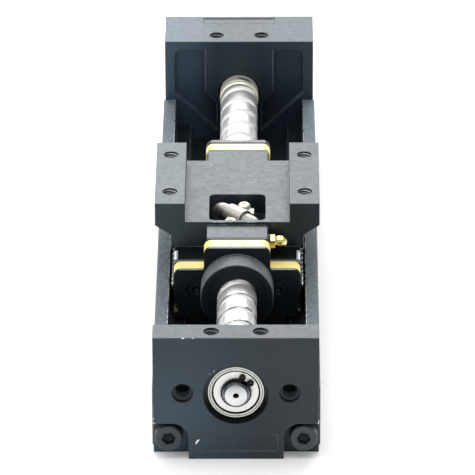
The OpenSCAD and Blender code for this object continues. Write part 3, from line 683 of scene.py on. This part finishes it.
def shaded_chamfer():
    """Chamfers of the support housing's bore and face holes: painted black as painted shade, greyer
    at the top.
    """
    # Painted shade: the chamfers are near-black.
    s = coated_metal("shaded_chamfer", (0.002, 0.002, 0.002), (0.004, 0.004, 0.004),
                     (0.6, 0.7), 2.0, 0.004, 0.1)
    shade_black = s.tone()
    high = s.between(s.axis("Z"), AXIS_Z - 4, AXIS_Z + 5)
    s.set("Base Color", s.mix(high, shade_black, (0.042, 0.050, 0.055)))
    return s.material


def housing_coat():
    """Black-treated steel, painted darker at its right as painted shade, so bluer at its left, and
    darker at its top; the drive housing is bluest at its sides and also painted darker towards its
    right. The face holes' walls are painted dark as painted shade, and round the bearing there are
    a painted shadow below, a brown stain at the right and a few bright chips."""
    s = coated_metal("housing_coat", (0.022, 0.036, 0.056), (0.030, 0.046, 0.066),
                     (0.38, 0.48), 2.5, 0.004)
    plain = s.tone()
    # Painted shade: darker towards the right.
    right = s.between(s.axis("X"), -16, 8)
    shaded = s.mix(s.noise(0.06), (0.007, 0.009, 0.014), (0.011, 0.013, 0.018))
    tone_and_shade = s.mix(right, plain, shaded)
    high = s.between(s.axis("Z"), 18, 40, 0, 0.6)
    tone_and_shade = s.mix(high, tone_and_shade, (0.007, 0.009, 0.012))
    sides = s.between(s.math("ABSOLUTE", s.axis("X")), 8, 15)
    drive = s.mix(sides, (0.012, 0.021, 0.031), (0.038, 0.063, 0.102))
    # Painted shade: the drive housing is darker towards its right.
    drive = s.mix(s.between(s.axis("X"), -26, 18, 0, 0.7), drive, (0.005, 0.009, 0.013))
    tone_and_shade = s.mix(s.between(s.axis("Y"), 0, 10, 0, 0.85), tone_and_shade, drive)
    # Painted shade: the walls of the face holes are painted dark.
    wells = s.any_of([s.inside((x - 2.95, front_low.y + 0.35, 21),
                               (x + 2.95, front_low.y + 9, 27.3), 0.05)
                      for x in (-FACE_HOLE_X, FACE_HOLE_X)])
    painted_shade = s.mix(s.noise(1.4, 0.45, 0.6, 3.0), (0.004, 0.005, 0.005), (0.03, 0.034, 0.036))
    dark = s.mix(wells, tone_and_shade, painted_shade)
    radius = s.radius()
    near = s.within("Y", front_low.y - 1, front_low.y + 2, 0.1)
    below = s.between(s.axis("Z"), AXIS_Z - 7, AXIS_Z - 1, 1, 0)
    # Painted shadow: black crescent below the bearing's bore.
    rim = s.times(s.between(radius, 10.1, 10.7, 1, 0), s.times(below, near))
    dark = s.mix(rim, dark, (0.002, 0.002, 0.002))
    stain = s.times(s.between(radius, 9.7, 11.2, 0.5, 0),
                    s.inside((8, front_low.y - 1, 23), (12, front_low.y + 1, 31), 1.5))
    dark = s.mix(stain, dark, (0.22, 0.14, 0.03))
    slant = s.math("SUBTRACT", s.axis("X"), s.times(s.axis("Z"), 0.7))
    off_line = s.math("ABSOLUTE", s.math("SUBTRACT", slant, -17.1))
    long_chip = s.times(s.between(off_line, 0.34, 0.5, 1, 0),
                        s.inside((-13.7, front_low.y - 1, 5.3), (-11.9, front_low.y + 1, 7.0), 0.1))
    dots = s.any_of([
        s.inside((-7.3, front_low.y - 1, 31.8), (-6.8, front_low.y + 0.2, 32.4), 0.15),
        s.inside((-8.7, front_low.y - 1, 30.9), (-8.4, front_low.y + 0.2, 31.4), 0.15)])
    chips = s.math("MAXIMUM", long_chip, s.times(dots, 0.3))
    s.set("Base Color", s.mix(chips, dark, BARE_STEEL))
    return s.material


RUBBED = (0.07, 0.085, 0.095)
HOUSING = housing_coat()
RAIL = rail_coat()
RAIL_EDGE = rail_edge()
SLIDER = slider_coat()
# Painted shade: edges within 10.9 mm of the screw's axis are painted black round the bore.
FRONT_EDGE = edge_coat("front_edge", (0.06, 0.072, 0.08), [
    ((-19, front_low.y - 1, front_high.z - 0.8), (-16.5, front_low.y + 0.8, front_high.z + 1)),
    ((-14, front_low.y - 1, front_high.z - 0.8), (-13, front_low.y + 0.8, front_high.z + 1)),
    ((HOUSE_X - 0.8, front_low.y - 1, 12), (HOUSE_X + 1, front_low.y + 2, 16)),
    ((-HOUSE_X - 1, front_low.y - 1, 11), (-HOUSE_X + 0.8, front_low.y + 2, 15))], 0.5, 10.9)
EDGE = edge_coat("coat_edge", RUBBED)
# Painted glints: the two flecks on the table's front lower edge stand in for glints.
SLIDER_EDGE = edge_coat("slider_edge", RUBBED, [
    ((-9, 21.5, 38.8), (-6, 23.5, 39.8)), ((-9, -28.5, 38.5), (-2, -26.9, 39.1)),
    ((2.5, -28.5, 38.5), (6, -26.9, 39.1))], 0.46)
OXIDE = coated_metal("oxide_look", (0.022, 0.026, 0.030), (0.045, 0.052, 0.058),
                     (0.34, 0.46), 3.0, 0.01).material
OXIDE_DARK = coated_metal("oxide_dark", (0.006, 0.007, 0.009), (0.014, 0.016, 0.019),
                          (0.3, 0.4), 3.0, 0.008, 0.4).material
BAND = coated_metal("collar_band", (0.05, 0.053, 0.058), (0.17, 0.175, 0.185),
                    (0.55, 0.7), 0.7, 0.02).material
SHIELD = bright_metal("shield_look", (0.94, 0.95, 0.93), (0.99, 0.99, 0.98),
                      (0.55, 0.62), per_mm=0.5, depth=0.001, metallic=0.3)
BALL = bright_metal("ball_look", (0.8, 0.81, 0.82), (0.88, 0.88, 0.88), (0.06, 0.12))
CAGE = bright_metal("cage_look", (0.7, 0.53, 0.24), (0.8, 0.64, 0.34), (0.25, 0.38), per_mm=2.0)
BRASS = bright_metal("nipple_look", (0.74, 0.60, 0.17), (0.88, 0.80, 0.42),
                     (0.16, 0.24), per_mm=0.8, depth=0.001)
TUBE = bright_metal("tube_look", (0.3, 0.3, 0.28), (0.42, 0.42, 0.4),
                    (0.4, 0.5), per_mm=1.2, metallic=0.85)
STRAP = bright_metal("strap_look", (0.4, 0.39, 0.35), (0.54, 0.53, 0.48),
                     (0.42, 0.54), metallic=0.8)
PAN = bright_metal("pan_screw_look", (0.78, 0.76, 0.62), (0.92, 0.9, 0.76),
                   (0.4, 0.52), per_mm=2.0, metallic=0.7)
TAPPED = bright_metal("tapped_steel", (0.10, 0.11, 0.12), (0.18, 0.19, 0.20),
                      (0.55, 0.65), per_mm=2.0, metallic=0.2)
TABLE_TAPPED = bright_metal("table_tapped", (0.16, 0.17, 0.18), (0.34, 0.35, 0.36),
                            (0.3, 0.45), per_mm=2.0)
CHAMFER_SHADE = shaded_chamfer()
RESIN = cap_resin()
RUBBER = seal_rubber()
SPRING = spring_steel()
BEARING = bearing_steel()
INNER = inner_ring_steel()
SCREW = screw_steel()
CREAM = cream_resin()
SPACER = spacer_steel()


# ---------- rail, housings and their screws ----------

finished_node("rail", [RAIL, RAIL_EDGE], 0.4)


def front_housing():
    """Support housing; the chamfers of its bore and face holes get the near-black painted shade."""
    bm = bevelled(node_mesh("front_housing"), 0.25)
    round_places = [(0, AXIS_Z, 10.8), (-FACE_HOLE_X, FACE_HOLE_Z, 3.6),
                    (FACE_HOLE_X, FACE_HOLE_Z, 3.6)]
    for face in bm.faces:
        place = face.calc_center_median()
        flat = face.normal.y < -0.98
        near = any(math.hypot(place.x - x, place.z - z) < r for x, z, r in round_places)
        if near and not flat and place.y < front_low.y + 1.3:
            face.material_index = 2
    piece("front_housing_body", bm, "base", [HOUSING, FRONT_EDGE, CHAMFER_SHADE],
          ["front_housing"])


front_housing()
finished_node("rear_housing", [HOUSING, EDGE], 0.25)


def tapped(bm, x, y, z, hole, place, material=0):
    """Thread in a blind hole whose mouth is at the point and which runs along the local Y axis."""
    radius, depth, pitch = hole
    coil(bm, radius, radius - 0.54 * pitch, pitch, -depth + pitch, -0.6 * pitch,
         Matrix.Translation((x, y, z)) @ place, material=material)


OUT_FRONT = Matrix.Rotation(math.pi, 4, "Z")
OUT_REAR = Matrix.Identity(4)

threads = bmesh.new()
for side in (-1, 1):
    tapped(threads, side * FACE_HOLE_X, front_low.y, FACE_HOLE_Z, FACE_HOLE, OUT_FRONT, 1)
    tapped(threads, side * FRONT_TOP_X, front_low.y + FRONT_TOP_Y, front_high.z, TOP_HOLE,
           UPRIGHT)
piece("front_housing_threads", threads, "base", [TAPPED, OXIDE])

threads = bmesh.new()
for side in (-1, 1):
    tapped(threads, side * REAR_TOP_X, rear_low.y + REAR_TOP_Y, rear_high.z, TOP_HOLE, UPRIGHT)
for a in (45, 135, 225, 315):
    tapped(threads, MOTOR_CIRCLE_R * math.sin(math.radians(a)), rear_high.y,
           AXIS_Z + MOTOR_CIRCLE_R * math.cos(math.radians(a)), MOTOR_HOLE, OUT_REAR)
piece("rear_housing_threads", threads, "base", [TAPPED])


def socket_screw(bm, place, head_r, head_l, shank_r, shank_l, hex_af, knurls=36):
    """Socket head cap screw along local +Y with its head's face at 0: knurled side, hex socket."""
    steps = knurls * 4
    chamfer = 0.09 * head_r
    teeth = 0.035 * head_r
    socket_l = 0.55 * head_l
    flat = hexagon(hex_af, steps)

    def ripple(index, step):
        if index in (4, 5):
            return -teeth * (step % 4 > 1)
        if index in (0, 1, 2):
            return flat(step) + (0.12 if index == 2 else 0)
        return 0

    lathe(bm, [(hex_af / 2, socket_l), (hex_af / 2, 0.15), (hex_af / 2, 0.0),
               (head_r - chamfer, 0.0), (head_r, chamfer), (head_r, head_l - 0.25),
               (head_r - 0.2, head_l), (shank_r, head_l),
               (shank_r, head_l + shank_l - 0.5), (shank_r - 0.45, head_l + shank_l),
               (0, head_l + shank_l)],
          place, steps, closed=False, ripple=ripple)
    lathe(bm, [(0, socket_l + 0.3 * hex_af), (hex_af / 2, socket_l)], place, steps, closed=False,
          ripple=lambda index, step: flat(step) if index else 0)
    bmesh.ops.remove_doubles(bm, verts=bm.verts, dist=1e-4)


def screws(name, node, points, head, along, body, material=OXIDE):
    """One piece for a CAD node's group of socket head screws, at points on their head faces."""
    bm = bmesh.new()
    turn = Matrix.Identity(4) if along > 0 else Matrix.Rotation(math.pi, 4, "Z")
    for index, point in enumerate(points):
        spin = Matrix.Rotation(math.radians(17 + 23 * index), 4, "Y")
        socket_screw(bm, Matrix.Translation(point) @ turn @ spin, *head)
    piece(name, bm, body, [material], [node], crease=25)


screws("front_m5_screws", "front_housing_screws",
       [(side * CORNER_SCREW_X, front_low.y, CORNER_SCREW_Z) for side in (-1, 1)],
       (*M5_HEAD, 15, 4), 1, "base")
screws("rear_m5_screws", "rear_housing_screws",
       [(side * CORNER_SCREW_X, rear_high.y, CORNER_SCREW_Z) for side in (-1, 1)],
       (*M5_HEAD, 30, 4), -1, "base")
screws("retainer_m2_screws", "retainer_screws",
       [(RETAINER_CIRCLE_R * math.sin(a), rear_high.y, AXIS_Z + RETAINER_CIRCLE_R * math.cos(a))
        for a in (0, math.pi / 2, math.pi, 1.5 * math.pi)],
       (*M2_HEAD, 6, 1.5, 18), -1, "base")
finished_node("rear_bearing_retainer", [HOUSING, EDGE], 0.2)
finished_node("bearing_lock_nut", [OXIDE, EDGE], 0.2)


# ---------- front bearing ----------

y0 = ring_low.y
y1 = ring_high.y
bm = bmesh.new()
lathe(bm, [(7.78, y0 + 0.2), (7.9, y0), (8.48, y0), (8.54, y0 + 0.15), (8.6, y0 + 0.15), (8.66, y0),
           (9.1, y0), (9.5, y0 + 0.4), (9.5, y1 - 0.4), (9.1, y1), (7.75, y1), (7.4, y1 - 0.5),
           (7.4, y1 - 1.6), (7.75, y1 - 2.2), (7.85, y0 + 3), (7.75, y0 + 2.2), (7.4, y0 + 1.6),
           (7.4, y0 + 0.6)], segments=128)
piece("front_bearing_outer", bm, "base", [BEARING],
      ["front_bearing_outer_ring"], 25)

bm = bmesh.new()
for base, out, lip_r in ((y0 + 0.25, 1, 4.85), (y1 - 0.25, -1, 5.5)):
    lathe(bm, [(7.4, base + 0.2 * out), (7.3, base + 0.02 * out), (7.1, base - 0.03 * out),
               (lip_r + 0.25, base - 0.03 * out), (lip_r + 0.05, base + 0.05 * out),
               (lip_r, base + 0.25 * out), (lip_r, base + 0.5 * out),
               (lip_r + 0.1, base + 0.55 * out), (lip_r + 0.35, base + 0.3 * out),
               (7.0, base + 0.3 * out), (7.3, base + 0.6 * out), (7.4, base + 0.5 * out)],
          segments=128)
piece("front_bearing_shield_pair", bm, "base", [SHIELD],
      ["front_bearing_shields"], 25)

bm = bmesh.new()
lathe(bm, [(SEAT_R, y0 + 0.3), (4.3, y0), (4.65, y0), (4.75, y0 + 0.1), (4.75, y0 + 0.95),
           (5.4, y0 + 1.0), (5.4, y0 + 1.9), (5.0, y0 + 2.4), (4.92, y0 + 3), (5.0, y1 - 2.4),
           (5.4, y1 - 1.9), (5.4, y1 - 0.3), (5.15, y1), (4.3, y1), (SEAT_R, y1 - 0.3)],
      segments=128)
piece("front_bearing_inner", bm, "screw", [INNER],
      ["front_bearing_inner_ring"], 25)
finished_node("front_circlip", [SPRING], 0.1)


# ---------- ball screw ----------

TURN_STEPS = 60


def groove_profile():
    """(offset from the groove's centre, radius) over one lead: round groove, broken edge, land."""
    lip = GROOVE_LIP
    angles = [math.radians(a) for a in (0, 16, 32, 48, 64, 78)]
    half = [(GROOVE_R * math.sin(a), BALL_CIRCLE_R - GROOVE_R * math.cos(a)) for a in angles]
    half.append((lip + 0.04, SCREW_R - 0.05))
    half.append((lip + 0.2, SCREW_R))
    left = [(-s, r) for s, r in reversed(half[1:])]
    land = [(lip + 0.2 + (LEAD - 2 * lip - 0.4) * k / 4, SCREW_R) for k in range(1, 4)]
    right_end = [(LEAD + left[0][0], SCREW_R)]
    return left + half + land + right_end


def thread_mesh(bm, low, high):
    """Threaded bar: the groove profile swept along the helix and cut off square at both ends."""
    profile = groove_profile()
    first = math.floor(TURN_STEPS * (low - 2 * LEAD - GROOVE_PHASE) / LEAD)
    last = math.ceil(TURN_STEPS * (high + LEAD - GROOVE_PHASE) / LEAD)
    rows = []
    for k in range(first, last + 1):
        a = 2 * math.pi * k / TURN_STEPS
        y = GROOVE_PHASE + LEAD * k / TURN_STEPS
        rows.append([bm.verts.new((r * math.sin(a), y + s, AXIS_Z + r * math.cos(a)))
                     for s, r in profile])
    for a, b in zip(rows, rows[1:]):
        for i in range(len(profile) - 1):
            bm.faces.new((a[i], a[i + 1], b[i + 1], b[i]))
    bmesh.ops.remove_doubles(bm, verts=bm.verts, dist=1e-4)
    for level, sign in ((low, -1), (high, 1)):
        bmesh.ops.bisect_plane(bm, geom=list(bm.verts) + list(bm.edges) + list(bm.faces),
                               plane_co=(0, level, 0), plane_no=(0, sign, 0), clear_outer=True)
        rim = [e for e in bm.edges if e.is_boundary and abs(e.verts[0].co.y - level) < 1e-4]
        bmesh.ops.edgeloop_fill(bm, edges=rim)


bm = bmesh.new()
shoulder_y = -rail_high.y + 1.5
thread_end = spacer_low.y
thread_mesh(bm, shoulder_y, thread_end)
front_end = shaft_low.y
lathe(bm, [(0, front_end + 2.6), (0.8, front_end + 2.2), (0.82, front_end + 0.3),
           (1.05, front_end), (3.3, front_end), (3.75, front_end + 0.2),
           (SEAT_R, front_end + 0.6), (SEAT_R, y0 - 0.8), (CLIP_R, y0 - 0.78),
           (CLIP_R, y0 - 0.02), (SEAT_R, y0), (SEAT_R, y1), (SHOULDER_R, y1),
           (SHOULDER_R, shoulder_y), (0, shoulder_y)], closed=False)
drive_end = shaft_high.y
lathe(bm, [(0, drive_end - 2.6), (0.8, drive_end - 2.2), (0.82, drive_end - 0.3),
           (1.05, drive_end), (3.45, drive_end), (3.8, drive_end - 0.15),
           (DRIVE_R, drive_end - 0.5), (DRIVE_R, rear_high.y + 1.2),
           (3.75, rear_high.y + 1.0), (3.75, rear_high.y + 0.4), (REAR_SEAT_R, rear_high.y),
           (REAR_SEAT_R, thread_end), (0, thread_end)], closed=False)
piece("ball_screw", bm, "screw", [SCREW], ["screw_shaft"], 28)

bm = bmesh.new()
s0 = spacer_low.y
s1 = spacer_high.y
lathe(bm, [(REAR_SEAT_R, s0), (6.55, s0), (SPACER_R, s0 + 0.45), (SPACER_R, s0 + 1.7),
           (6.75, s0 + 1.85), (6.75, s0 + 2.35), (SPACER_R, s0 + 2.5), (SPACER_R, s1 - 0.5),
           (6.6, s1), (REAR_SEAT_R, s1)], segments=128)
piece("spacer_sleeve", bm, "screw", [SPACER], ["rear_spacer"])

for node, look in (("front_bearing_balls", BALL), ("rear_bearing_balls", BALL), ("nut_balls", BALL),
                   ("left_guide_balls", BALL), ("right_guide_balls", BALL),
                   ("front_bearing_cage", CAGE), ("rear_bearing_cages", CAGE)):
    frame["nodes"][node].material_slots[0].material = look
finished_node("rear_bearing_outer_rings", [BEARING], 0.25)
finished_node("rear_bearing_inner_rings", [BEARING], 0.2)


# ---------- slider ----------

finished_node("slider_block", [SLIDER, SLIDER_EDGE], 0.2)
finished_node("return_tube", [TUBE], 0.08)
finished_node("tube_clamp", [STRAP], 0.15)
finished_node("tube_clamp_screws", [PAN], 0.1)

for end in ("front", "rear"):
    finished_node(end + "_end_cap", [RESIN], 0.25)
    finished_node(end + "_lube_plate", [CREAM], 0.35)
    finished_node(end + "_seal_plate", [RUBBER], 0.25)
    cap_low, cap_high = node_box(end + "_cap_screws")
    face_y = cap_low.y if end == "front" else cap_high.y
    shank_l = cap_high.y - cap_low.y - M3_HEAD[1]
    screws(end + "_m3_screws", end + "_cap_screws",
           [(side * CAP_SCREW_X, face_y, CAP_SCREW_Z) for side in (-1, 1)],
           (*M3_HEAD, shank_l, 2.5, 24), 1 if end == "front" else -1, "carriage", OXIDE_DARK)

c0 = collar_low.y
c1 = collar_high.y
bm = bmesh.new()
lathe(bm, [(SCREW_R + 0.3, c0 + 0.9), (7.4, c0 + 0.5), (9.9, c0 + 0.5), (10.2, c0 + 0.2),
           (10.35, c0), (11.7, c0), (COLLAR_FACE_R, c0 + 0.2), (COLLAR_FACE_R, c0 + 0.5),
           (COLLAR_CORE_R, c0 + 0.5), (COLLAR_CORE_R, c1), (SCREW_R + 0.3, c1)], segments=128)
lathe(bm, [(COLLAR_CORE_R, c0 + 0.52), (COLLAR_FACE_R, c0 + 0.52), (COLLAR_BAND_R, c0 + 0.7),
           (COLLAR_BAND_R, c1 - 1.6), (11.95, c1 - 1.5), (11.95, c1 - 1.0),
           (COLLAR_BAND_R, c1 - 0.9), (COLLAR_BAND_R, c1), (COLLAR_CORE_R, c1)],
      segments=128, material=1)
piece("scraper_collar", bm, "carriage", [RUBBER, BAND], ["seal_collar"])

# Sealing lips of the two seal plates, close round the screw
bm = bmesh.new()
for end, inner in (("front", -1), ("rear", 1)):
    low, high = node_box(end + "_seal_plate")
    face = low.y if end == "front" else high.y
    lathe(bm, [(SCREW_R + 0.12, face), (7.6, face), (7.9, face + 0.35 * inner),
               (7.4, face + 0.75 * inner), (SCREW_R + 0.12, face + 0.6 * inner)])
piece("seal_lips", bm, "carriage", [RUBBER])

threads = bmesh.new()
centre_y = (slider_low.y + slider_high.y) / 2
for side in (-1, 1):
    for k in (-1, 1):
        tapped(threads, side * TABLE_HOLE_X, centre_y + k * TABLE_HOLE_Y, slider_high.z,
               TABLE_HOLE, UPRIGHT)
piece("table_threads", threads, "carriage", [TABLE_TAPPED])

# Grease nipple: hex base, waist and rounded head with its ball valve
NIPPLE_Y = (nipple_low.y + nipple_high.y) / 2
NIPPLE_Z = 34.4
THREAD_L = 3.0
FACE_X = nipple_low.x + THREAD_L
TO_RIGHT = (Matrix.Translation((FACE_X, NIPPLE_Y, NIPPLE_Z))
            @ Matrix.Rotation(math.radians(-90), 4, "Z"))
NIPPLE_AF = 4.6
NIPPLE_STEPS = 96
flats = hexagon(NIPPLE_AF, NIPPLE_STEPS)


def hex_base(index, step):
    """The base's side is a hexagon, and the edges of its two faces are nearly round."""
    if index in (4, 5):
        return flats(step)
    return 0.3 * flats(step) if index in (3, 6) else 0


bm = bmesh.new()
lathe(bm, [(0, -THREAD_L), (1.5, -THREAD_L), (1.5, 0), (2.15, 0), (NIPPLE_AF / 2, 0.2),
           (NIPPLE_AF / 2, 1.7), (2.1, 1.9), (1.85, 1.98), (1.8, 2.1), (1.85, 2.25),
           (2.05, 2.45), (2.1, 2.7), (2.1, 4.1), (2.03, 4.6), (1.8, 5.1), (1.4, 5.5),
           (0.9, 5.72), (0.55, 5.78), (0.45, 5.6), (0.3, 5.72), (0, 5.79)],
      TO_RIGHT, NIPPLE_STEPS, closed=False, ripple=hex_base)
piece("nipple", bm, "carriage", [BRASS], ["grease_nipple"], 25)


# ---------- studio ----------

def floor():
    """Plain white floor."""
    bm = bmesh.new()
    bmesh.ops.create_grid(bm, x_segments=2, y_segments=2, size=6.0)
    mesh = bpy.data.meshes.new("floor")
    bm.to_mesh(mesh)
    bm.free()
    made = bpy.data.objects.new("floor", mesh)
    bpy.context.scene.collection.objects.link(made)
    look = bpy.data.materials.new("floor_look")
    look.use_nodes = True
    shader = look.node_tree.nodes["Principled BSDF"]
    shader.inputs["Base Color"].default_value = (0.97, 0.97, 0.97, 1)
    shader.inputs["Roughness"].default_value = 0.9
    shader.inputs["Specular IOR Level"].default_value = 0.0
    shader.inputs["Emission Color"].default_value = (1, 1, 1, 1)
    shader.inputs["Emission Strength"].default_value = 0.12
    mesh.materials.append(look)


def softbox(name, place, target, width, height, power):
    """Rectangular studio light, aimed at a point."""
    light = bpy.data.lights.new(name, "AREA")
    light.shape = "RECTANGLE"
    light.size = width
    light.size_y = height
    light.energy = power
    made = bpy.data.objects.new(name, light)
    bpy.context.scene.collection.objects.link(made)
    made.location = place
    made.rotation_euler = (Vector(target) - Vector(place)).to_track_quat("-Z", "Y").to_euler()


def camera():
    """Long lens in front of the support end, looking down along the screw."""
    place = Vector((0.0099, -1.6317, 0.8020))
    pitch = 0.4468
    azimuth = math.radians(-0.351)
    roll = math.radians(-0.203)
    ahead = Vector((math.sin(azimuth) * math.cos(pitch), math.cos(azimuth) * math.cos(pitch),
                    -math.sin(pitch)))
    right = Vector((math.cos(azimuth), -math.sin(azimuth), 0))
    up = right.cross(ahead)
    side = math.cos(roll) * right + math.sin(roll) * up
    top = math.cos(roll) * up - math.sin(roll) * right
    data = bpy.data.cameras.new("camera")
    data.lens = 396.4
    data.sensor_width = 36.0
    data.clip_end = 20.0
    made = bpy.data.objects.new("camera", data)
    bpy.context.scene.collection.objects.link(made)
    turned = Matrix((side, top, -ahead)).transposed().to_4x4()
    made.matrix_world = Matrix.Translation(place) @ turned
    bpy.context.scene.camera = made


def world(strength):
    """Even white surround."""
    made = bpy.data.worlds.new("studio")
    made.use_nodes = True
    made.node_tree.nodes["Background"].inputs["Color"].default_value = (1, 1, 1, 1)
    made.node_tree.nodes["Background"].inputs["Strength"].default_value = strength
    bpy.context.scene.world = made


floor()
camera()
world(0.6)
softbox("back_softbox", (0, 1.5, 0.95), (0, 0, 0), 1.8, 1.1, 29.5)
softbox("top_softbox", (0, 0, 1.3), (0, 0, 0), 1.3, 1.3, 9)
softbox("left_softbox", (-1.2, 0, 0.9), (0, 0, 0), 1.0, 1.0, 6)
bpy.context.scene.view_settings.view_transform = "Standard"
